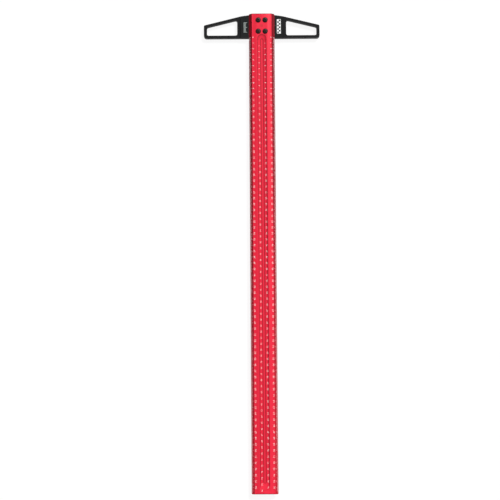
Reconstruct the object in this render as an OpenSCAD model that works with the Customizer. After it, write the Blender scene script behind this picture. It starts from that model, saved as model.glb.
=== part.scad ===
// Fixed-head T square: a graduated aluminium blade screwed square across a black head.
//
// The origin is the point the tool measures from: the middle of the blade's width, on the head's
// working edge, at the level of the blade's underside. X runs along the head, the blade lies
// towards -Y and Z points up out of the graduated face. All sizes are in millimetres.

/* [Blade] */
// Width of the blade across both graduated edges
blade_w = 44; // [38:1:60]
// Length of the blade from the working edge to its free end
blade_reach = 771; // [300:1:1200]
// How far the blade runs past the back of the head
blade_overrun = 1.6; // [0.4:0.2:10]
// Thickness of the blade at its middle
blade_t = 5; // [4:0.25:8]
// Thickness left at the two graduated edges
edge_t = 1.2; // [0.8:0.1:1.6]
// Width of each graduated bevel
bevel_w = 3.8; // [2:0.1:4.5]
// Width of each shelf that carries the outer numbers
shelf_w = 3.7; // [3:0.1:4]
// How far the number shelves lie below the top of the blade
shelf_drop = 0.6; // [0.3:0.1:0.9]
// Corner radius at the blade's end behind the head
heel_r = 2; // [1:0.5:6]
// Corner radius at the blade's free end
tip_r = 2; // [0.5:0.5:5]
// Width of the chamfer across the top of both ends
end_chamfer = 0.8; // [0.2:0.1:1.5]

/* [Channel] */
// Width of the round-ended channel down the blade
channel_w = 14.8; // [10:0.2:16]
// Depth of the channel
channel_depth = 1.3; // [0.6:0.1:2]
// Length of the ramp at each end of the channel
channel_ramp = 6.2; // [2:0.1:10]
// How far the channel runs behind the working edge
channel_heel = 4.8; // [0:0.1:5]
// Plain metal left between the channel and the free end
channel_tip = 6.5; // [3:0.5:30]
// Width of the centre groove in the channel's floor
groove_w = 4.2; // [2:0.1:5]
// How far the groove starts past the working edge
groove_start = 2.6; // [1:0.1:10]
// Depth of the centre groove below the channel's floor
groove_depth = 0.5; // [0.2:0.1:0.8]

/* [Head] */
// Length of the head from wing tip to wing tip
head_span = 199; // [170:1:300]
// Depth of the head beside the blade
head_depth = 40.5; // [38:0.5:60]
// Depth of the head where the saddle ends and each wing begins
shoulder_depth = 38.4; // [34:0.2:38.4]
// Depth of the head at the wing tips
tip_depth = 22.7; // [18:0.1:30]
// How far the head hangs below the blade's underside
fence_drop = 7; // [7:0.5:20]
// Width of the bar along the working edge
fence_bar = 4.6; // [3:0.1:8]
// Width of the sloping bar at the back of each wing
slope_bar = 4.4; // [3:0.1:8]
// Width of the bar at each wing tip
end_bar = 5.2; // [3:0.1:8]
// Width of the upright between the saddle and each window
web = 5.5; // [4:0.1:8]
// Corner radius of the windows
window_r = 3; // [1:0.5:4]
// Radius of the front corner at the wing tips
tip_front_r = 5; // [1:0.5:8]
// Radius of the back corner at the wing tips
tip_back_r = 2.5; // [1:0.5:5]
// Wall left round the hollows in the underside
core_wall = 2; // [1.6:0.1:3]
// Skin left between those hollows and the saddle
core_skin = 1.5; // [1:0.1:3]

/* [Saddle] */
// Length of the saddle along the head
saddle_w = 73.2; // [66:0.2:90]
// Thickness of the saddle under the blade
saddle_t = 2; // [1.5:0.25:2.5]
// How far the saddle's pads stand above the blade's underside
pad_rise = 1.2; // [0.6:0.1:1.6]
// How far the saddle is set back from the head's outline
saddle_setback = 0.3; // [0.1:0.1:1]

/* [Fasteners] */
// Thread diameter of the blade screws
screw_d = 4; // [3:0.5:5]
// Length of the screws under the head
screw_l = 10; // [9:0.5:11.5]
// Diameter of the screw heads
screw_head_d = 8.6; // [6:0.1:9]
// Height of the screw heads
screw_head_h = 2.4; // [1.8:0.1:3]
// Screw spacing across the blade
screw_pitch_x = 12; // [10:0.5:16]
// Screw spacing along the blade
screw_pitch_y = 20; // [16:0.5:20]
// Distance from the working edge to the middle of the screws
pattern_y = 20.5; // [20:0.5:26]
// Outer diameter of the threaded inserts
insert_d = 6; // [5.6:0.1:7]
// Length of the threaded inserts
insert_l = 4.5; // [3:0.5:5]
// Diameter of the locating pin
pin_d = 5; // [3:0.5:6]
// How deep the locating pin goes into the head below the saddle
pin_depth = 3; // [2:0.5:4]

/* [Clearances] */
// Gap on each side between the blade and the saddle's pads
seat_gap = 0.1; // [0.05:0.05:0.3]
// Gap at each end between the saddle and its pocket
saddle_gap = 0.15; // [0.05:0.05:0.4]
// Radial gap round each screw in the blade and the saddle
screw_gap = 0.25; // [0.1:0.05:0.4]
// Radial gap between a screw and its insert
thread_gap = 0.02; // [0.01:0.01:0.05]

/* [Hidden] */
$fn = 64;
past = 1;                                     // how far a cutter runs past the face it cuts
hull_fn = 32;                                 // facets of a channel end
arc_lift = 0.003;                             // lets a rounding arc cross its sides instead of just touching

heel_y = head_depth + blade_overrun;          // the blade's end behind the head
step_w = 1.2;                                 // run of the steep step under each number shelf
step_foot = edge_t + (blade_t - edge_t) * 0.4;
slope_w = 1.9;                                // run of the slope from the crown to the shelf
shelf_z = blade_t - shelf_drop;
channel_r = channel_w / 2;
channel_y = channel_heel - channel_r;         // centre of the channel's round end at the top
channel_end_y = -blade_reach + channel_tip + channel_r;
channel_z = blade_t - channel_depth;

wing_slope = (shoulder_depth - tip_depth) / (head_span / 2 - saddle_w / 2);
wing_angle = atan(wing_slope);
window_x = saddle_w / 2 + web;                // inner side of each window
window_end_x = head_span / 2 - end_bar;       // outer side of each window
insert_top = -saddle_t;
core_top = -saddle_t - core_skin;             // ceiling of those hollows
boss_d = insert_d + 2 * core_wall;
rib_t = 1.6;                                  // thickness of the ribs in the hollows

screw_x = screw_pitch_x / 2;
front_y = pattern_y - screw_pitch_y / 2;
back_y = pattern_y + screw_pitch_y / 2;
SCREWS = [[-screw_x, back_y], [screw_x, back_y], [-screw_x, front_y], [screw_x, front_y]];

red = [0.86, 0.07, 0.13];
black = [0.09, 0.09, 0.1];
pad_black = [0.15, 0.16, 0.16];
brass = [0.8, 0.62, 0.3];

// ---------- outlines ----------

function unit(v) = v / norm(v);

// Depth of a wing's back edge at a distance x from the middle, moved in by "inset" square to the edge
function back_edge(x, inset = 0) = tip_depth + (head_span / 2 - x) * wing_slope - inset / cos(wing_angle);

// What a corner loses when it is rounded: the corner's tip outside an arc that touches both sides
module corner_waste(before, corner, after, r) {
    u = unit(before - corner);
    v = unit(after - corner);
    half = acos(u * v) / 2;
    touch = r / tan(half);
    centre = corner + unit(u + v) * r / sin(half);
    reach = 1.2;
    difference() {
        polygon([
            corner - unit(u + v) * r,
            centre + (corner + u * touch - centre) * reach,
            centre,
            centre + (corner + v * touch - centre) * reach,
        ]);
        translate(centre) circle(r = r + arc_lift);
    }
}

// A convex outline with a radius at each corner, 0 for a sharp one
module rounded(points, radii) {
    n = len(points);
    difference() {
        polygon(points);
        for (i = [0 : n - 1])
            if (radii[i] > 0)
                corner_waste(points[(i + n - 1) % n], points[i], points[(i + 1) % n], radii[i]);
    }
}

// Outline of the whole head; "inset" moves its sides in
module head_outline(inset = 0) {
    tip_x = head_span / 2 - inset;
    shoulder_x = saddle_w / 2;
    top_x = blade_w / 2;
    rounded(
        [[-tip_x, inset], [tip_x, inset], [tip_x, back_edge(tip_x, inset)],
         [shoulder_x, shoulder_depth - inset], [top_x, head_depth - inset],
         [-top_x, head_depth - inset], [-shoulder_x, shoulder_depth - inset],
         [-tip_x, back_edge(tip_x, inset)]],
        [tip_front_r, tip_front_r, tip_back_r, 0, 0, 0, 0, tip_back_r]
    );
}

// Outline of the right-hand window
module window_outline() {
    rounded(
        [[window_x, fence_bar], [window_end_x, fence_bar],
         [window_end_x, back_edge(window_end_x, slope_bar)], [window_x, back_edge(window_x, slope_bar)]],
        [window_r, window_r, window_r, window_r]
    );
}

// Both windows, the left one mirrored
module both_windows() {
    window_outline();
    mirror([1, 0]) window_outline();
}

// Puts its children at each of the four screws
module at_screws() {
    for (p = SCREWS) translate(p) children();
}

// ---------- blade ----------

// Cross section of the blade: flat underside, thin graduated bevels, number shelves, raised crown
module blade_section() {
    half = blade_w / 2;
    step_x = half - bevel_w;
    shelf_x = step_x - step_w;
    slope_x = shelf_x - shelf_w;
    crown_x = slope_x - slope_w;
    right = [
        [half, 0], [half, edge_t], [step_x, step_foot],
        [shelf_x, shelf_z], [slope_x, shelf_z], [crown_x, blade_t],
    ];
    left = [for (i = [len(right) - 1 : -1 : 0]) [-right[i][0], right[i][1]]];
    polygon(concat(right, left));
}

// Plan outline of the blade, with its four rounded corners
module blade_plan() {
    half = blade_w / 2;
    rounded(
        [[-half, -blade_reach], [half, -blade_reach], [half, heel_y], [-half, heel_y]],
        [tip_r, tip_r, heel_r, heel_r]
    );
}

// One end of the channel: a ramp from the top of the blade down to the channel's floor
module channel_end(y, towards) {
    hull() {
        for (run = [0, channel_ramp])
            translate([0, y + run * towards, blade_t])
                cylinder(r = channel_r, h = past, $fn = hull_fn);
        translate([0, y + channel_ramp * towards, channel_z])
            cylinder(r = channel_r, h = past, $fn = hull_fn);
    }
}

module channel() {
    floor_y = channel_y - channel_ramp;
    floor_end_y = channel_end_y + channel_ramp;
    channel_end(channel_y, -1);
    channel_end(channel_end_y, 1);
    translate([-channel_r, floor_end_y, channel_z])
        cube([channel_w, floor_y - floor_end_y, channel_depth + past]);
}

module centre_groove() {
    start_y = -groove_start - groove_w / 2;
    end_y = channel_end_y + channel_ramp;
    z = channel_z - groove_depth;
    translate([-groove_w / 2, end_y, z]) cube([groove_w, start_y - end_y, groove_depth + past]);
    for (y = [start_y, end_y]) translate([0, y, z]) cylinder(d = groove_w, h = groove_depth + past);
}

// Chamfer across the top of one end of the blade
module end_chamfer_cut(y) {
    side = end_chamfer * sqrt(2);
    translate([0, y, blade_t]) rotate([45, 0, 0]) cube([blade_w + 2 * past, side, side], center = true);
}

module blade() {
    color(red)
    difference() {
        intersection() {
            translate([0, heel_y, 0]) rotate([90, 0, 0]) linear_extrude(blade_reach + heel_y) blade_section();
            linear_extrude(blade_t) blade_plan();
        }
        channel();
        centre_groove();
        end_chamfer_cut(heel_y);
        end_chamfer_cut(-blade_reach);
        at_screws() translate([0, 0, -past]) cylinder(r = screw_d / 2 + screw_gap, h = blade_t + 2 * past);
        translate([0, pattern_y, -past]) cylinder(d = pin_d, h = blade_t + 2 * past);
    }
}

// ---------- head ----------

// Bosses and ribs that stay standing in the hollow under the middle of the head
module hub_ribs() {
    at_screws() circle(d = boss_d);
    translate([0, pattern_y]) circle(d = pin_d + 2 * core_wall);
    for (x = [-window_x / 2, -screw_x, screw_x, window_x / 2])
        translate([x - rib_t / 2, 0]) square([rib_t, head_depth]);
    for (y = [front_y, back_y]) translate([-window_x, y - rib_t / 2]) square([2 * window_x, rib_t]);
}

// Hollow in the underside of the head's middle
module hub_hollow() {
    half = window_x - core_wall;
    difference() {
        intersection() {
            head_outline(core_wall);
            translate([-half, 0]) square([2 * half, head_depth]);
        }
        hub_ribs();
    }
}

module saddle_pocket() {
    translate([-saddle_w / 2, -past, -saddle_t]) cube([saddle_w, head_depth + 2 * past, saddle_t + past]);
}

module head_frame() {
    color(black)
    difference() {
        translate([0, 0, -fence_drop]) linear_extrude(fence_drop) difference() {
            head_outline();
            both_windows();
        }
        saddle_pocket();
        translate([0, 0, -fence_drop - past]) linear_extrude(fence_drop + core_top + past) hub_hollow();
        at_screws() translate([0, 0, -fence_drop - past]) cylinder(d = insert_d, h = fence_drop + past);
        translate([0, pattern_y, -saddle_t - pin_depth]) cylinder(d = pin_d, h = saddle_t + pin_depth + past);
    }
}

module blade_saddle() {
    seat_w = blade_w + 2 * seat_gap;
    length = saddle_w - 2 * saddle_gap;
    color(pad_black)
    difference() {
        translate([0, 0, -saddle_t]) linear_extrude(saddle_t + pad_rise) intersection() {
            head_outline(saddle_setback);
            translate([-length / 2, 0]) square([length, head_depth]);
        }
        translate([-seat_w / 2, -past, 0]) cube([seat_w, head_depth + 2 * past, pad_rise + past]);
        at_screws() translate([0, 0, -saddle_t - past])
            cylinder(r = screw_d / 2 + screw_gap, h = saddle_t + 2 * past);
        translate([0, pattern_y, -saddle_t - past]) cylinder(d = pin_d, h = saddle_t + 2 * past);
    }
}

// ---------- fasteners ----------

// Round-headed machine screw with a cross recess, seated on top of the blade
module screw(place) {
    r = screw_head_d / 2;
    rim = screw_head_h * 0.3;
    dome = screw_head_h - rim;
    dome_r = (r * r + dome * dome) / (2 * dome);
    recess_w = screw_d * 0.25;
    recess_l = screw_head_d * 0.55;
    recess_depth = screw_head_h * 0.6;
    tip = screw_d * 0.12;
    color(black)
    translate([place[0], place[1], blade_t])
    difference() {
        union() {
            cylinder(r = r, h = rim);
            intersection() {
                translate([0, 0, rim]) cylinder(r = r, h = dome);
                translate([0, 0, screw_head_h - dome_r]) sphere(r = dome_r, $fn = 96);
            }
            translate([0, 0, tip - screw_l]) cylinder(d = screw_d, h = screw_l - tip);
            translate([0, 0, -screw_l]) cylinder(d1 = screw_d - 2 * tip, d2 = screw_d, h = tip);
        }
        for (turn = [0, 90])
            rotate([0, 0, turn + 20])
                translate([-recess_l / 2, -recess_w / 2, screw_head_h - recess_depth])
                    cube([recess_l, recess_w, recess_depth + past]);
    }
}

// Brass insert, pressed into its boss from the saddle's side
module insert(place) {
    groove = 0.4;
    band = insert_l / 5;
    color(brass)
    translate([place[0], place[1], insert_top - insert_l])
    difference() {
        cylinder(d = insert_d, h = insert_l);
        translate([0, 0, -past]) cylinder(r = screw_d / 2 + thread_gap, h = insert_l + 2 * past);
        for (z = [band, 3 * band])
            translate([0, 0, z])
                rotate_extrude() translate([insert_d / 2 - groove, 0]) square([groove + past, band]);
    }
}

module locating_pin() {
    tip = pin_d * 0.08;
    length = blade_t + saddle_t + pin_depth;
    color(red)
    translate([0, pattern_y, -saddle_t - pin_depth]) {
        cylinder(d1 = pin_d - 2 * tip, d2 = pin_d, h = tip);
        translate([0, 0, tip]) cylinder(d = pin_d, h = length - tip);
    }
}

blade();
head_frame();
blade_saddle();
locating_pin();
screw(SCREWS[0]);  // screw_back_left
screw(SCREWS[1]);  // screw_back_right
screw(SCREWS[2]);  // screw_front_left
screw(SCREWS[3]);  // screw_front_right
insert(SCREWS[0]);  // insert_back_left
insert(SCREWS[1]);  // insert_back_right
insert(SCREWS[2]);  // insert_front_left
insert(SCREWS[3]);  // insert_front_right
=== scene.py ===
"""A fixed-head T square: red graduated blade, black head, dressed with finishes and printing."""

# %% [markdown]
# # A T square, step by step
# The tool is a long aluminium blade screwed across a moulded black head. The metal and plastic parts
# come in as ready-made solids, in metres, and each lesson below adds what a solid lacks: broken edges,
# finishes, the printed graduations and numbers, and a plain studio to look at it in.
# X runs along the head, the blade lies towards -Y, and Z points up out of the printed face.

# %% Load the frame
import math

import bmesh
import bpy
from mathutils import Matrix, Vector


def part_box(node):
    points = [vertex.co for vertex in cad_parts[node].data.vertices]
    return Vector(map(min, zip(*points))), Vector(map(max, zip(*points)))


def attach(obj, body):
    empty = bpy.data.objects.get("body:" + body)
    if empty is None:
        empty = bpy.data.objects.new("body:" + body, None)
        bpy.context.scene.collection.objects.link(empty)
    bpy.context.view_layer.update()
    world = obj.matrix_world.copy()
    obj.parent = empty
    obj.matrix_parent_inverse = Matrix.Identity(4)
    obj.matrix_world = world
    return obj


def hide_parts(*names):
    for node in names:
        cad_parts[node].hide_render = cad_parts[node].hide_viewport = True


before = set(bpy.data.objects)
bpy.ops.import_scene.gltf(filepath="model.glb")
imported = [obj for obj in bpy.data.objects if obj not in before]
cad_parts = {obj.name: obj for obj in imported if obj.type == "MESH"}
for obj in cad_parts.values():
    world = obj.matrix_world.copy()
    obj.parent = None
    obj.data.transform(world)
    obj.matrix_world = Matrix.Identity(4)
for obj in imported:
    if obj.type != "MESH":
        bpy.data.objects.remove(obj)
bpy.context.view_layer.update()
print("frame nodes:", sorted(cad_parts))

# %% Sizes that the lessons share
MM = 0.001
blade_lo, blade_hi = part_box("blade")
head_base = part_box("head_frame")[0].z
pad_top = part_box("blade_saddle")[1].z
half_w = (blade_hi.x - blade_lo.x) / 2          # half the blade's width
blade_top = blade_hi.z
edge_z = 1.2 * MM                               # thickness at the graduated edges
bevel_run, bevel_rise = 3.8 * MM, 1.52 * MM     # the graduated bevel, across and up
step_run = 1.2 * MM                             # the steep step above the bevel
centre_y = (blade_lo.y + blade_hi.y) / 2
print("blade %.0f mm long, %.0f mm wide" % ((blade_hi.y - blade_lo.y) / MM, 2 * half_w / MM))

# %% [markdown]
# ## A small kit for writing materials
# Every finish here is a Principled shader fed by a few procedural patterns, and small helpers keep
# the recipes short. Most of them add one node and fill its sockets, with a number or with a link.
# One makes noise in the object's own coordinates, stretched as the process that made the surface
# would stretch it, and one maps a pattern onto a range of values. Values that never vary stay on
# the shader's own sockets.


# %% Node helpers
def feed(tree, socket, value):
    """Fills a socket with a number or a tuple, or links another node's output to it."""
    if isinstance(value, (int, float, tuple)):
        socket.default_value = value
    else:
        tree.links.new(value, socket)


def math_node(tree, operation, a, b=0.0, clamp=False):
    made = tree.nodes.new("ShaderNodeMath")
    made.operation = operation
    made.use_clamp = clamp
    feed(tree, made.inputs[0], a)
    feed(tree, made.inputs[1], b)
    return made.outputs[0]


def vector(tree, x=0.0, y=0.0, z=0.0):
    made = tree.nodes.new("ShaderNodeCombineXYZ")
    for socket, value in zip(made.inputs, (x, y, z)):
        feed(tree, socket, value)
    return made.outputs[0]


def stretched_noise(tree, scale, detail=3.0, roughness=0.5):
    place = tree.nodes.new("ShaderNodeTexCoord")
    mapping = tree.nodes.new("ShaderNodeMapping")
    mapping.inputs["Scale"].default_value = scale
    noise = tree.nodes.new("ShaderNodeTexNoise")
    noise.inputs["Scale"].default_value = 1.0
    noise.inputs["Detail"].default_value = detail
    noise.inputs["Roughness"].default_value = roughness
    tree.links.new(place.outputs["Object"], mapping.inputs["Vector"])
    tree.links.new(mapping.outputs["Vector"], noise.inputs["Vector"])
    return noise.outputs["Fac"]


def spread(tree, value, low, high, to_low, to_high):
    made = tree.nodes.new("ShaderNodeMapRange")
    for name, v in (("From Min", low), ("From Max", high), ("To Min", to_low), ("To Max", to_high)):
        made.inputs[name].default_value = v
    tree.links.new(value, made.inputs["Value"])
    return made.outputs["Result"]


def blend_colours(tree, amount, first, second):
    made = tree.nodes.new("ShaderNodeMix")
    made.data_type = "RGBA"
    feed(tree, made.inputs[0], amount)
    for socket, colour in ((made.inputs[6], first), (made.inputs[7], second)):
        feed(tree, socket, colour + (1.0,) if isinstance(colour, tuple) else colour)
    return made.outputs[2]


def along(tree, axis):
    place = tree.nodes.new("ShaderNodeTexCoord")
    split = tree.nodes.new("ShaderNodeSeparateXYZ")
    tree.links.new(place.outputs["Object"], split.inputs[0])
    return split.outputs[axis]


def bump(tree, shader, height, strength, distance):
    made = tree.nodes.new("ShaderNodeBump")
    made.inputs["Strength"].default_value = strength
    made.inputs["Distance"].default_value = distance
    tree.links.new(height, made.inputs["Height"])
    tree.links.new(made.outputs["Normal"], shader.inputs["Normal"])


def new_finish(name, **sockets):
    finish = bpy.data.materials.new(name)
    finish.use_nodes = True
    tree = finish.node_tree
    shader = tree.nodes["Principled BSDF"]
    for socket, value in sockets.items():
        shader.inputs[socket.replace("_", " ")].default_value = value
    return finish, tree, shader


print("helpers ready")

# %% [markdown]
# ## The blade's red finish
# The blade is extruded aluminium, brushed along its length and dyed a clear red. Brushing leaves
# fine lines that run the long way, so the noise is stretched along Y: it varies quickly across the
# blade and slowly along it. The upper side is painted darker in the inner corners of the channel and
# its groove, on the channel's first ramp, round the screw heads and across the ends: painted shade, in
# bands at known distances from a middle line or a centre. The rims are a little paler in patches, and
# a few hair scratches lie along the crown. The two graduated bevels, the steps above them and the sawn
# ends are duller and darker, and get their own version of the same recipe without the bands; on the
# ends that darkness is painted shade. The bevels are painted darkest at the head and lighter towards
# the free end: painted shade and reflection of the black head.

# %% Red anodised aluminium
CROWN_RED = (0.74, 0.014, 0.042)
DEEP_RED = (0.60, 0.009, 0.026)
WORN_RED = (0.80, 0.060, 0.090)
# Painted shade: the dark red laid into the channel's corners, its first ramp, round the screws and across
# the ends.
PAINTED_SHADE_RED = (0.20, 0.001, 0.005)
# Bevel colours: painted shade, darkest beside the black head (the first) and lightest at the free end
# (the third).
HEAD_SHADED_BEVEL = (0.15, 0.002, 0.007)
DEEP_BEVEL = (0.12, 0.001, 0.004)
BEVEL_CLEAR_OF_HEAD_SHADE = (0.42, 0.010, 0.022)
# Half the width of each, and where the centres of its two round ends lie
GROOVE = (2.1 * MM, -4.7 * MM, blade_lo.y + 20.1 * MM)
CHANNEL = (7.4 * MM, -2.6 * MM, blade_lo.y + 13.9 * MM)


def hypot(tree, x, y):
    squares = [math_node(tree, "MULTIPLY", side, side) for side in (x, y)]
    return math_node(tree, "SQRT", math_node(tree, "ADD", *squares))


def distance(tree, value, place):
    return math_node(tree, "ABSOLUTE", math_node(tree, "SUBTRACT", value, place))


def from_middle(tree, start, end):
    """Distance from the middle line of a round-ended channel: |x| beside it, a radius past its ends."""
    y = along(tree, 1)
    past = math_node(
        tree, "MAXIMUM", math_node(tree, "SUBTRACT", y, start), math_node(tree, "SUBTRACT", end, y)
    )
    return hypot(tree, along(tree, 0), math_node(tree, "MAXIMUM", past, 0.0))


def middle_of(name):
    lo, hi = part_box(name)
    return (lo + hi) / 2


# Painted shade: a dark ring on the blade round each screw head.
def screw_shade_rings(tree):
    """The four screws sit evenly about one centre, so one distance serves them all."""
    first, last = middle_of("screw_front_left"), middle_of("screw_back_right")
    x = math_node(tree, "SUBTRACT", math_node(tree, "ABSOLUTE", along(tree, 0)), (last.x - first.x) / 2)
    y = distance(tree, along(tree, 1), (first.y + last.y) / 2)
    y = math_node(tree, "SUBTRACT", y, (last.y - first.y) / 2)
    return spread(tree, hypot(tree, x, y), 4.5 * MM, 5.0 * MM, 0.9, 0.0)


# Painted shade: dark bands on the upper side along the channel's and groove's inner corners, on the first
# ramp, round the screws and across the ends.
def painted_shade_bands(tree):
    upper = spread(tree, along(tree, 2), 2.8 * MM, 3.0 * MM, 0.0, 1.0)
    y = along(tree, 1)
    total = screw_shade_rings(tree)
    # Painted shade along the inner corners of the groove and the channel.
    for (half, start, end), depth in ((GROOVE, 0.95), (CHANNEL, 0.85)):
        middle = from_middle(tree, start, end)
        band = spread(tree, distance(tree, middle, half), 0.20 * MM, 0.70 * MM, depth, 0.0)
        band = math_node(tree, "MULTIPLY", band, spread(tree, y, end - 4 * MM, end, 0.2, 1.0))
        total = math_node(tree, "MAXIMUM", total, band)
    half_length = blade_hi.y - centre_y
    # Painted shade across both ends.
    sawn = spread(
        tree, distance(tree, y, centre_y), half_length - 1.5 * MM, half_length - 0.9 * MM, 0.0, 0.5
    )
    total = math_node(tree, "MAXIMUM", total, sawn)
    # Painted shade on the channel's first ramp.
    ramp = spread(tree, middle, 3.6 * MM, 7.2 * MM, 0.0, 0.50)
    ramp = math_node(tree, "MULTIPLY", ramp, spread(tree, middle, 7.3 * MM, 7.6 * MM, 1.0, 0.0))
    ramp = math_node(tree, "MULTIPLY", ramp, spread(tree, y, -7.0 * MM, -3.0 * MM, 0.0, 1.0))
    return math_node(tree, "MULTIPLY", math_node(tree, "MAXIMUM", total, ramp), upper)


def red_finish(name, body, deep, specular, with_painted_shade):
    finish, tree, shader = new_finish(name, Metallic=0.15, Specular_IOR_Level=specular)
    brushing = stretched_noise(tree, (5200, 45, 5200), 4.0, 0.6)
    clouds = stretched_noise(tree, (28, 9, 28), 3.0)
    lines = blend_colours(tree, spread(tree, brushing, 0.3, 0.7, 0.0, 1.0), deep, body)
    tone = blend_colours(tree, spread(tree, clouds, 0.35, 0.7, 0.6, 1.0), lines, body)
    if with_painted_shade:
        # Painted shade: the bands darken the crown's colour.
        tone = blend_colours(tree, painted_shade_bands(tree), tone, PAINTED_SHADE_RED)
    else:
        # Painted shade: the bevels are darkest beside the black head and grow lighter towards the free
        # end.
        head_shade_fade = spread(tree, along(tree, 1), blade_hi.y, blade_lo.y, 0.0, 1.0)
        tone = blend_colours(tree, head_shade_fade, tone, BEVEL_CLEAR_OF_HEAD_SHADE)
    hairs = spread(tree, stretched_noise(tree, (3600, 14, 3600), 2.0, 0.4), 0.70, 0.78, 0.0, 0.5)
    across = math_node(tree, "ABSOLUTE", along(tree, 0))
    rim = spread(tree, across, half_w - 0.35 * MM, half_w - 0.05 * MM, 0.0, 0.5)
    rubbed = spread(tree, stretched_noise(tree, (700, 220, 700), 4.0), 0.45, 0.62, 0.0, 1.0)
    wear = math_node(tree, "MAXIMUM", hairs, math_node(tree, "MULTIPLY", rim, rubbed))
    tree.links.new(blend_colours(tree, wear, tone, WORN_RED), shader.inputs["Base Color"])
    tree.links.new(spread(tree, brushing, 0.3, 0.7, 0.46, 0.36), shader.inputs["Roughness"])
    bump(tree, shader, brushing, 0.12, 0.00004)
    return finish


RED = red_finish("red_anodised", CROWN_RED, DEEP_RED, 0.35, True)
BEVEL_RED = red_finish("red_bevels", HEAD_SHADED_BEVEL, DEEP_BEVEL, 0.10, False)
print("made", RED.name, "and", BEVEL_RED.name)

# %% [markdown]
# ## Black mouldings and the small metal parts
# The head is black plastic with a fine spark-eroded grain, a fraction of a millimetre between peaks.
# The saddle has the same colour with a slightly finer, drier grain, so the two read as neighbours and
# not as one piece. Where the head rubs along a board's edge its grain is polished, so its roughness
# falls near the working face, and its colour is painted a little lighter there, a painted sheen.
# Screws are blacked steel with a lighter brown painted on the crown of each head, a painted
# highlight, and the inserts are turned brass.


# %% Black plastic
def black_finish(name, dark, pale, grain, low, high, polish_and_sheen=0.0):
    finish, tree, shader = new_finish(name, Specular_IOR_Level=0.13)
    pits = stretched_noise(tree, (grain, grain, grain), 3.0, 0.6)
    cloud = stretched_noise(tree, (60, 60, 60), 4.0)
    tone = math_node(
        tree, "ADD", spread(tree, pits, 0.3, 0.7, 0.0, 0.45), spread(tree, cloud, 0.3, 0.7, 0.0, 0.55)
    )
    rough = spread(tree, pits, 0.3, 0.7, low, high)
    if polish_and_sheen:
        rub_and_sheen = spread(tree, along(tree, 1), 0.0, 3 * MM, polish_and_sheen, 0.0)
        patches = spread(tree, cloud, 0.4, 0.6, 0.3, 1.0)
        rub_and_sheen = math_node(tree, "MULTIPLY", rub_and_sheen, patches)
        rough = math_node(tree, "SUBTRACT", rough, rub_and_sheen)
        # Painted sheen: the rubbed band also lightens the colour near the working face.
        tone = math_node(tree, "ADD", tone, rub_and_sheen, clamp=True)
    tree.links.new(blend_colours(tree, tone, dark, pale), shader.inputs["Base Color"])
    tree.links.new(rough, shader.inputs["Roughness"])
    bump(tree, shader, pits, 0.35, 0.00006)
    return finish


HEAD_BLACK = black_finish(
    "head_plastic", (0.004, 0.004, 0.004), (0.008, 0.008, 0.009), 2600, 0.46, 0.60, polish_and_sheen=0.16
)
SADDLE_BLACK = black_finish(
    "saddle_plastic", (0.004, 0.005, 0.005), (0.009, 0.010, 0.010), 3400, 0.55, 0.68
)
print("made", HEAD_BLACK.name, "and", SADDLE_BLACK.name)


# %% Turned metal
def metal_finish(name, base, worn, metallic, roughness, painted_sheen_above=None):
    finish, tree, shader = new_finish(name, Metallic=metallic, Specular_IOR_Level=0.30)
    turning = stretched_noise(tree, (900, 900, 5000), 3.0)
    rubbed = stretched_noise(tree, (1500, 1500, 1500), 4.0, 0.65)
    wear = spread(tree, rubbed, 0.55, 0.72, 0.0, 0.7)
    # Painted highlight: above this height, on the crown of a screw head, the colour turns to the lighter
    # brown.
    if painted_sheen_above is not None:
        height = spread(tree, along(tree, 2), painted_sheen_above, painted_sheen_above + 0.6 * MM, 0.0, 1.0)
        wear = math_node(tree, "MULTIPLY", height, spread(tree, rubbed, 0.35, 0.60, 0.55, 1.0))
    tree.links.new(blend_colours(tree, wear, base, worn), shader.inputs["Base Color"])
    rough = spread(tree, turning, 0.3, 0.7, roughness - 0.06, roughness + 0.08)
    tree.links.new(rough, shader.inputs["Roughness"])
    bump(tree, shader, turning, 0.15, 0.00003)
    return finish


SCREW_STEEL = metal_finish(
    "blacked_steel", (0.004, 0.003, 0.003), (0.050, 0.030, 0.022), 0.3, 0.55, blade_top + 1.3 * MM
)
BRASS = metal_finish("turned_brass", (0.58, 0.40, 0.16), (0.72, 0.55, 0.28), 1.0, 0.30)
PIN_RED = metal_finish("pin_red", (0.58, 0.020, 0.035), (0.64, 0.050, 0.060), 0.2, 0.40)
print("made", SCREW_STEEL.name, BRASS.name, PIN_RED.name)

# %% [markdown]
# ## Printing ink
# Graduations and numbers are screen-printed in white. The ink film is never quite even, so its
# tone wanders a little and rubbed specks let some of the red through.


# %% White and grey ink
def ink_finish(name, full, thin):
    finish, tree, shader = new_finish(name, Roughness=0.55, Specular_IOR_Level=0.25)
    film = stretched_noise(tree, (900, 900, 900), 4.0, 0.6)
    worn = spread(tree, film, 0.62, 0.74, 0.0, 0.8)
    tree.links.new(blend_colours(tree, worn, full, thin), shader.inputs["Base Color"])
    bump(tree, shader, film, 0.1, 0.00002)
    return finish


WHITE_INK = ink_finish("white_ink", (0.80, 0.78, 0.77), (0.62, 0.42, 0.42))
PAD_INK = ink_finish("pad_ink", (0.78, 0.79, 0.78), (0.42, 0.43, 0.42))
GREY_INK = ink_finish("grey_ink", (0.36, 0.40, 0.38), (0.20, 0.22, 0.21))
print("made", WHITE_INK.name, PAD_INK.name, GREY_INK.name)

# %% [markdown]
# ## Breaking the edges of the solids
# Real edges are never perfectly sharp: an extrusion leaves the die with a small radius, and a
# moulding with a larger one. Each solid is copied, its loose triangles are merged into whole faces,
# and a Bevel modifier rounds every edge that turns more than 30 degrees. The copy then stands for
# the solid, which stays as it was underneath.


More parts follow.
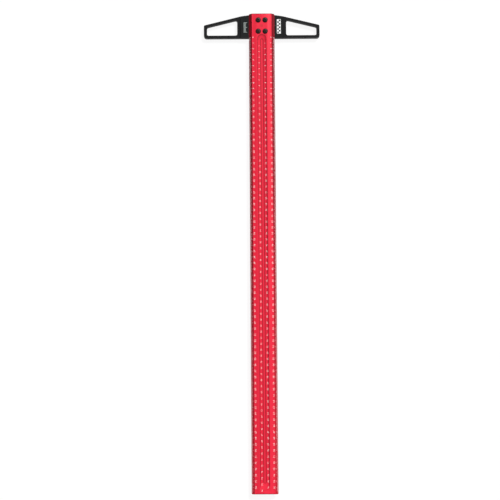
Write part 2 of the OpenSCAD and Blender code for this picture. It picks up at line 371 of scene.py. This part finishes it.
# %% Copy a solid and soften it
def softened(name, cad_name, width, finish, segments=2, second=None):
    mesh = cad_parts[cad_name].data.copy()
    mesh.name = name
    work = bmesh.new()
    work.from_mesh(mesh)
    bmesh.ops.remove_doubles(work, verts=work.verts, dist=0.000002)
    bmesh.ops.dissolve_limit(work, angle_limit=math.radians(0.3), verts=work.verts, edges=work.edges)
    for face in work.faces:
        face.smooth = True
    for edge in work.edges:
        edge.smooth = len(edge.link_faces) == 2 and edge.calc_face_angle(0.0) < math.radians(30)
    mesh.materials.clear()
    mesh.materials.append(finish)
    if second:
        other, belongs = second
        mesh.materials.append(other)
        for face in work.faces:
            face.material_index = 1 if belongs(face) else 0
    work.to_mesh(mesh)
    work.free()
    piece = bpy.data.objects.new(name, mesh)
    bpy.context.collection.objects.link(piece)
    rounding = piece.modifiers.new("rounding", "BEVEL")
    rounding.width = width
    rounding.segments = segments
    rounding.limit_method = "ANGLE"
    rounding.angle_limit = math.radians(30)
    rounding.harden_normals = True
    rounding.use_clamp_overlap = True
    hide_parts(cad_name)
    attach(piece, "root")
    faces = len(mesh.polygons)
    print("%-22s %5d faces before rounding, edges broken %.2f mm" % (name, faces, width / MM))
    return piece


# %% Blade, head and saddle
# The sawn ends take the darker bevel finish as painted shade.
def cut_face(face):
    """A graduated bevel, the steep step above it, or a face sawn across one of the blade's ends."""
    middle = face.calc_center_median()
    sloped = abs(middle.x) > half_w - bevel_run - step_run and 0.4 < face.normal.z < 0.98
    at_end = not blade_lo.y + 10 * MM < middle.y < blade_hi.y - 10 * MM
    return sloped or (abs(face.normal.y) > 0.6 and at_end)


blade = softened("blade_body", "blade", 0.15 * MM, RED, second=(BEVEL_RED, cut_face))
softened("head_body", "head_frame", 0.40 * MM, HEAD_BLACK, 3)
softened("saddle_body", "blade_saddle", 0.15 * MM, SADDLE_BLACK)

# %% Screws, inserts and pin
for cad_name in sorted(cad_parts):
    if cad_name.startswith("screw_"):
        softened(cad_name + "_body", cad_name, 0.12 * MM, SCREW_STEEL)
    elif cad_name.startswith("insert_"):
        softened(cad_name + "_body", cad_name, 0.10 * MM, BRASS)
softened("locating_pin_body", "locating_pin", 0.05 * MM, PIN_RED)

# %% [markdown]
# ## Graduations with Geometry Nodes
# Both bevels carry a line every millimetre, longer at every fifth and longest at every tenth. That
# is a rule, so a node tree states it once: a row of points down the edge, a tiny flat stroke on each,
# and a length chosen from the point's number. The tree's sizes are named inputs, so the same tree
# prints either edge.


# %% Helpers for node trees
def pick(tree, test, when_false, when_true):
    made = tree.nodes.new("GeometryNodeSwitch")
    made.input_type = "FLOAT"
    for socket, value in zip(made.inputs, (test, when_false, when_true)):
        feed(tree, socket, value)
    return made.outputs[0]


def new_tree(name, inputs):
    tree = bpy.data.node_groups.new(name, "GeometryNodeTree")
    for label, kind in inputs:
        tree.interface.new_socket(label, in_out="INPUT", socket_type=kind)
    tree.interface.new_socket("Geometry", in_out="OUTPUT", socket_type="NodeSocketGeometry")
    return tree, tree.nodes.new("NodeGroupInput").outputs, tree.nodes.new("NodeGroupOutput")


def finish_tree(tree, geometry, material, out):
    real = tree.nodes.new("GeometryNodeRealizeInstances")
    ink = tree.nodes.new("GeometryNodeSetMaterial")
    tree.links.new(geometry, real.inputs[0])
    tree.links.new(real.outputs[0], ink.inputs["Geometry"])
    tree.links.new(material, ink.inputs["Material"])
    tree.links.new(ink.outputs[0], out.inputs[0])


def grown(name, tree, values):
    """Runs a tree with the given inputs and keeps its result as a plain mesh."""
    host = bpy.data.objects.new(name + "_host", bpy.data.meshes.new(name + "_host"))
    bpy.context.collection.objects.link(host)
    rule = host.modifiers.new("rule", "NODES")
    rule.node_group = tree
    for item in tree.interface.items_tree:
        if item.in_out == "INPUT" and item.name in values:
            rule[item.identifier] = values[item.name]
    bpy.context.view_layer.update()
    graph = bpy.context.evaluated_depsgraph_get()
    mesh = bpy.data.meshes.new_from_object(host.evaluated_get(graph), depsgraph=graph)
    mesh.name = name
    host.modifiers.remove(rule)
    bpy.data.objects.remove(host)
    piece = bpy.data.objects.new(name, mesh)
    bpy.context.collection.objects.link(piece)
    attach(piece, "root")
    print("%-22s %6d faces" % (name, len(mesh.polygons)))
    return piece


# %% The graduation tree
def graduation_tree():
    tree, given, out = new_tree(
        "graduations",
        [("Lines", "NodeSocketInt"), ("Pitch", "NodeSocketFloat"), ("Stroke", "NodeSocketFloat"),
         ("Short", "NodeSocketFloat"), ("Middle", "NodeSocketFloat"), ("Long", "NodeSocketFloat"),
         ("Foot", "NodeSocketVector"), ("Lean", "NodeSocketFloat"), ("Turn", "NodeSocketFloat"),
         ("Ink", "NodeSocketMaterial")],
    )
    row = tree.nodes.new("GeometryNodeMeshLine")
    tree.links.new(given["Lines"], row.inputs["Count"])
    tree.links.new(given["Foot"], row.inputs["Start Location"])
    down = math_node(tree, "MULTIPLY", given["Pitch"], -1.0)
    tree.links.new(vector(tree, 0.0, down), row.inputs["Offset"])
    index = tree.nodes.new("GeometryNodeInputIndex").outputs[0]
    fifth = math_node(tree, "COMPARE", math_node(tree, "MODULO", index, 5.0), 0.0)
    tenth = math_node(tree, "COMPARE", math_node(tree, "MODULO", index, 10.0), 0.0)
    reach = pick(tree, tenth, pick(tree, fifth, given["Short"], given["Middle"]), given["Long"])
    stroke = tree.nodes.new("GeometryNodeMeshGrid")
    for name, value in (("Size X", 1.0), ("Size Y", 1.0), ("Vertices X", 2), ("Vertices Y", 2)):
        stroke.inputs[name].default_value = value
    shift = tree.nodes.new("GeometryNodeTransform")
    shift.inputs["Translation"].default_value = (0.5, 0.0, 0.0)
    tree.links.new(stroke.outputs["Mesh"], shift.inputs["Geometry"])
    place = tree.nodes.new("GeometryNodeInstanceOnPoints")
    tree.links.new(row.outputs["Mesh"], place.inputs["Points"])
    tree.links.new(shift.outputs["Geometry"], place.inputs["Instance"])
    turn = tree.nodes.new("FunctionNodeEulerToRotation")
    tree.links.new(vector(tree, 0.0, given["Lean"], given["Turn"]), turn.inputs[0])
    tree.links.new(turn.outputs[0], place.inputs["Rotation"])
    tree.links.new(vector(tree, reach, given["Stroke"], 1.0), place.inputs["Scale"])
    finish_tree(tree, place.outputs["Instances"], given["Ink"], out)
    return tree


GRADUATIONS = graduation_tree()

# %% Print both edges
INK_LIFT = 0.02 * MM
edge_gap = 0.12 * MM                            # bare metal between the rim and each line
lean = math.atan2(bevel_rise, bevel_run)
lines = round(-blade_lo.y / MM) - 2             # one each millimetre, stopping short of the chamfer
for side, foot_x, turn in (("left", edge_gap - half_w, 0.0), ("right", half_w - edge_gap, math.pi)):
    grown(
        "graduations_" + side, GRADUATIONS,
        {"Lines": lines, "Pitch": 1 * MM, "Stroke": 0.16 * MM, "Short": 2.3 * MM, "Middle": 3.0 * MM,
         "Long": 3.8 * MM, "Foot": (foot_x, 0.0, edge_z + 0.05 * MM + INK_LIFT),
         "Lean": -lean, "Turn": turn, "Ink": WHITE_INK},
    )

# %% [markdown]
# ## Numbers by the same idea
# Four rows of numbers run along the blade, one on each shelf and one on each side of the channel's
# floor, with 10 mm from label to label. The shelf rows start at 0, at the working edge. The inner
# rows start at 1, and every label of the inner left row lies 5 mm past its own centimetre. The
# built-in font gives the ten digits once, and the tree places two of them for each label: the tens
# and the units come from the label's own number, and a label below ten shows only its units. The
# digits have a few faces each, because there are hundreds of them, and a ray from every corner lays
# them down on the blade, so the last labels follow the channel's ramp. The last inner right number
# spans the ramp's edge and still dips a little into it.


# %% The number tree
def draped(tree, geometry, onto, lift):
    """Drops every corner straight down onto an object, so that the print follows each ramp."""
    target = tree.nodes.new("GeometryNodeObjectInfo")
    tree.links.new(onto, target.inputs["Object"])
    above = tree.nodes.new("ShaderNodeVectorMath")
    tree.links.new(tree.nodes.new("GeometryNodeInputPosition").outputs[0], above.inputs[0])
    above.inputs[1].default_value = (0.0, 0.0, 0.02)
    ray = tree.nodes.new("GeometryNodeRaycast")
    tree.links.new(target.outputs["Geometry"], ray.inputs["Target Geometry"])
    tree.links.new(above.outputs[0], ray.inputs["Source Position"])
    ray.inputs["Ray Direction"].default_value = (0.0, 0.0, -1.0)
    ray.inputs["Ray Length"].default_value = 0.04
    raised = tree.nodes.new("ShaderNodeVectorMath")
    tree.links.new(ray.outputs["Hit Position"], raised.inputs[0])
    tree.links.new(vector(tree, 0.0, 0.0, lift), raised.inputs[1])
    real = tree.nodes.new("GeometryNodeRealizeInstances")
    tree.links.new(geometry, real.inputs[0])
    laid = tree.nodes.new("GeometryNodeSetPosition")
    tree.links.new(real.outputs[0], laid.inputs["Geometry"])
    tree.links.new(ray.outputs["Is Hit"], laid.inputs["Selection"])
    tree.links.new(raised.outputs[0], laid.inputs["Position"])
    return laid.outputs[0]


def whole_part(tree, value, divisor):
    """Whole part of a division; the quarter keeps an exact multiple from falling just short."""
    shifted = math_node(tree, "ADD", value, 0.25)
    return math_node(tree, "FLOOR", math_node(tree, "DIVIDE", shifted, divisor))


def number_tree():
    tree, given, out = new_tree(
        "numbers",
        [("Labels", "NodeSocketInt"), ("First", "NodeSocketInt"), ("Pitch", "NodeSocketFloat"),
         ("Height", "NodeSocketFloat"), ("Advance", "NodeSocketFloat"), ("Start", "NodeSocketVector"),
         ("Onto", "NodeSocketObject"), ("Lift", "NodeSocketFloat"), ("Ink", "NodeSocketMaterial")],
    )
    row = tree.nodes.new("GeometryNodeMeshLine")
    tree.links.new(math_node(tree, "MULTIPLY", given["Labels"], 2.0), row.inputs["Count"])
    row.inputs["Offset"].default_value = (0.0, 0.0, 0.0)
    tree.links.new(given["Start"], row.inputs["Start Location"])
    index = tree.nodes.new("GeometryNodeInputIndex").outputs[0]
    step = whole_part(tree, index, 2.0)
    label = math_node(tree, "ADD", step, given["First"])
    is_unit = math_node(tree, "MODULO", index, 2.0)
    tens = whole_part(tree, label, 10.0)
    units = math_node(tree, "SUBTRACT", label, math_node(tree, "MULTIPLY", tens, 10.0))
    two_digits = math_node(tree, "GREATER_THAN", tens, 0.5)
    digit = pick(tree, math_node(tree, "GREATER_THAN", is_unit, 0.5), tens, units)
    shown = math_node(tree, "MAXIMUM", is_unit, two_digits)
    side = math_node(tree, "MULTIPLY", math_node(tree, "SUBTRACT", is_unit, 0.5), given["Advance"])
    side = math_node(tree, "MULTIPLY", side, two_digits)
    down = math_node(tree, "MULTIPLY", math_node(tree, "MULTIPLY", step, given["Pitch"]), -1.0)
    move = tree.nodes.new("GeometryNodeSetPosition")
    tree.links.new(row.outputs["Mesh"], move.inputs["Geometry"])
    tree.links.new(vector(tree, 0.0, math_node(tree, "ADD", down, side)), move.inputs["Offset"])
    text = tree.nodes.new("GeometryNodeStringToCurves")
    text.inputs["String"].default_value = "0123456789"
    text.inputs["Size"].default_value = 1.0
    home = tree.nodes.new("GeometryNodeSetPosition")
    tree.links.new(text.outputs["Curve Instances"], home.inputs["Geometry"])
    tree.links.new(vector(tree), home.inputs["Position"])
    coarse = tree.nodes.new("GeometryNodeSetSplineResolution")
    coarse.inputs["Resolution"].default_value = 2
    tree.links.new(home.outputs[0], coarse.inputs[0])
    fill = tree.nodes.new("GeometryNodeFillCurve")
    fill.mode = "NGONS"
    tree.links.new(coarse.outputs[0], fill.inputs[0])
    place = tree.nodes.new("GeometryNodeInstanceOnPoints")
    place.inputs["Pick Instance"].default_value = True
    tree.links.new(move.outputs[0], place.inputs["Points"])
    tree.links.new(fill.outputs[0], place.inputs["Instance"])
    tree.links.new(shown, place.inputs["Selection"])
    tree.links.new(digit, place.inputs["Instance Index"])
    turn = tree.nodes.new("FunctionNodeEulerToRotation")
    turn.inputs[0].default_value = (0.0, 0.0, math.pi / 2)
    tree.links.new(turn.outputs[0], place.inputs["Rotation"])
    tree.links.new(vector(tree, given["Height"], given["Height"], given["Height"]), place.inputs["Scale"])
    laid = draped(tree, place.outputs["Instances"], given["Onto"], given["Lift"])
    finish_tree(tree, laid, given["Ink"], out)
    return tree


NUMBERS = number_tree()

# %% Print the four rows
labels = round(-blade_lo.y / (10 * MM))
advance, half_cap, half_digit = 0.62, 0.36, 0.3     # shares of a number's height
for name, x, first, late, height in (
    ("outer_left", -14.9, 0, 0.0, 3.6), ("outer_right", 15.4, 0, 0.0, 3.6),
    ("inner_left", -4.8, 1, 5.0, 2.9), ("inner_right", 5.5, 1, 0.0, 3.1),
):
    start_y = -half_digit * height - late - 10.0 * first
    grown(
        "numbers_" + name, NUMBERS,
        {"Labels": labels - first, "First": first, "Pitch": 10 * MM, "Height": height * MM,
         "Advance": advance * height * MM, "Onto": blade, "Lift": INK_LIFT, "Ink": WHITE_INK,
         "Start": ((x + half_cap * height) * MM, start_y * MM, blade_top)},
    )

# %% [markdown]
# ## Neutral marks on the saddle's pads
# Each pad carries a small print. A chequered scale bar and a short row of rule strokes suit a
# drawing instrument and say nothing. Both are flat rounded plates drawn in mesh code, a hair above
# the pad, so that they catch the light as ink does.


# %% Flat printed plates
def plate(work, x0, y0, x1, y1, radius):
    points = []
    for cx, cy, turn in ((x1 - radius, y1 - radius, 0), (x0 + radius, y1 - radius, 90),
                         (x0 + radius, y0 + radius, 180), (x1 - radius, y0 + radius, 270)):
        for step in range(4):
            a = math.radians(turn + step * 30)
            points.append((cx + radius * math.cos(a), cy + radius * math.sin(a), pad_top + INK_LIFT))
    work.faces.new([work.verts.new(p) for p in points])


def printed(name, plates, finish):
    work = bmesh.new()
    for x0, y0, x1, y1, radius in plates:
        plate(work, x0 * MM, y0 * MM, x1 * MM, y1 * MM, radius * MM)
    mesh = bpy.data.meshes.new(name)
    work.to_mesh(mesh)
    work.free()
    mesh.materials.append(finish)
    piece = bpy.data.objects.new(name, mesh)
    bpy.context.collection.objects.link(piece)
    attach(piece, "root")
    print("%-22s %d plates" % (name, len(plates)))


# %% Chequered scale bar on the right pad
def chequered_bar(x, y, width, length, cells, line):
    plates = [(x, y, x + width, y + line, 0.1), (x, y + length - line, x + width, y + length, 0.1),
              (x, y + line, x + line, y + length - line, 0.1),
              (x + width - line, y + line, x + width, y + length - line, 0.1)]
    step = (length - 2 * line) / cells
    for k in range(cells):
        left = x + line if k % 2 else x + width / 2
        foot = y + line + k * step
        plates.append((left, foot, left + width / 2 - line, foot + step, 0.1))
    return plates


printed("pad_mark_right", chequered_bar(26.2, 7.2, 6.6, 25.6, 8, 0.7), PAD_INK)

# %% Rule strokes on the left pad
strokes = []
for k in range(11):
    foot, reach = 9.6 + 1.7 * k, 6.0 if k % 5 == 0 else 4.0
    strokes.append((-31.2, foot, -31.2 + reach, foot + 0.7, 0.15))
printed("pad_mark_left", strokes, GREY_INK)

# %% [markdown]
# ## Floor, light and camera
# The square lies on a plain pale table, lit softly from below so that shadows stay faint. One
# distant soft lamp from beyond the head and to the right gives the channel's walls and the bevels
# their tones.
# The camera looks down from two metres, tilted a few degrees towards the head.

# %% Floor
floor_mesh = bpy.data.meshes.new("floor")
sheet = bmesh.new()
bmesh.ops.create_grid(sheet, x_segments=1, y_segments=1, size=6.0)
bmesh.ops.translate(sheet, verts=sheet.verts, vec=(0.0, -0.35, head_base))
sheet.to_mesh(floor_mesh)
sheet.free()
floor = bpy.data.objects.new("floor", floor_mesh)
bpy.context.collection.objects.link(floor)
acrylic, acrylic_tree, acrylic_shader = new_finish(
    "lit_acrylic", Roughness=0.9, Specular_IOR_Level=0.1,
    Emission_Color=(1.0, 1.0, 1.0, 1.0), Emission_Strength=0.90,
)
cloud = spread(acrylic_tree, stretched_noise(acrylic_tree, (180, 180, 180), 3.0), 0.3, 0.7, 0.0, 1.0)
greys = blend_colours(acrylic_tree, cloud, (0.085, 0.085, 0.085), (0.095, 0.095, 0.095))
acrylic_tree.links.new(greys, acrylic_shader.inputs["Base Color"])
floor_mesh.materials.append(acrylic)
print("floor at %.1f mm" % (head_base / MM))

# %% Light
sky = bpy.data.worlds.new("sky")
sky.use_nodes = True
sky_tree = sky.node_tree
background = sky_tree.nodes["Background"]
background.inputs["Color"].default_value = (1.0, 1.0, 1.0, 1.0)
around = sky_tree.nodes.new("ShaderNodeTexCoord")
direction = sky_tree.nodes.new("ShaderNodeSeparateXYZ")
sky_tree.links.new(around.outputs["Generated"], direction.inputs[0])
glow = spread(sky_tree, direction.outputs["Z"], 0.20, 0.50, 0.86, 0.38)
sky_tree.links.new(glow, background.inputs["Strength"])
bpy.context.scene.world = sky

soft_lamp = bpy.data.lights.new("key", "SUN")
soft_lamp.angle = math.radians(14)
soft_lamp.energy = 4.1
key = bpy.data.objects.new("key", soft_lamp)
key.rotation_euler = Vector((-0.44, -0.62, -0.65)).to_track_quat("-Z", "Y").to_euler()
bpy.context.collection.objects.link(key)
bpy.context.scene.view_settings.view_transform = "Standard"

# %% Camera
lens = bpy.data.cameras.new("camera")
lens.sensor_width = 36.0
lens.lens = 86.4
lens.clip_start, lens.clip_end = 0.05, 30.0
camera = bpy.data.objects.new("camera", lens)
turned = Matrix.Rotation(math.radians(7.316), 4, "X") @ Matrix.Rotation(math.radians(-0.345), 4, "Z")
camera.rotation_euler = turned.to_euler()
camera.location = (-0.0224, -0.6244, 2.0006)
bpy.context.collection.objects.link(camera)
bpy.context.scene.camera = camera
print("camera %.2f m above the floor" % (camera.location.z - head_base))
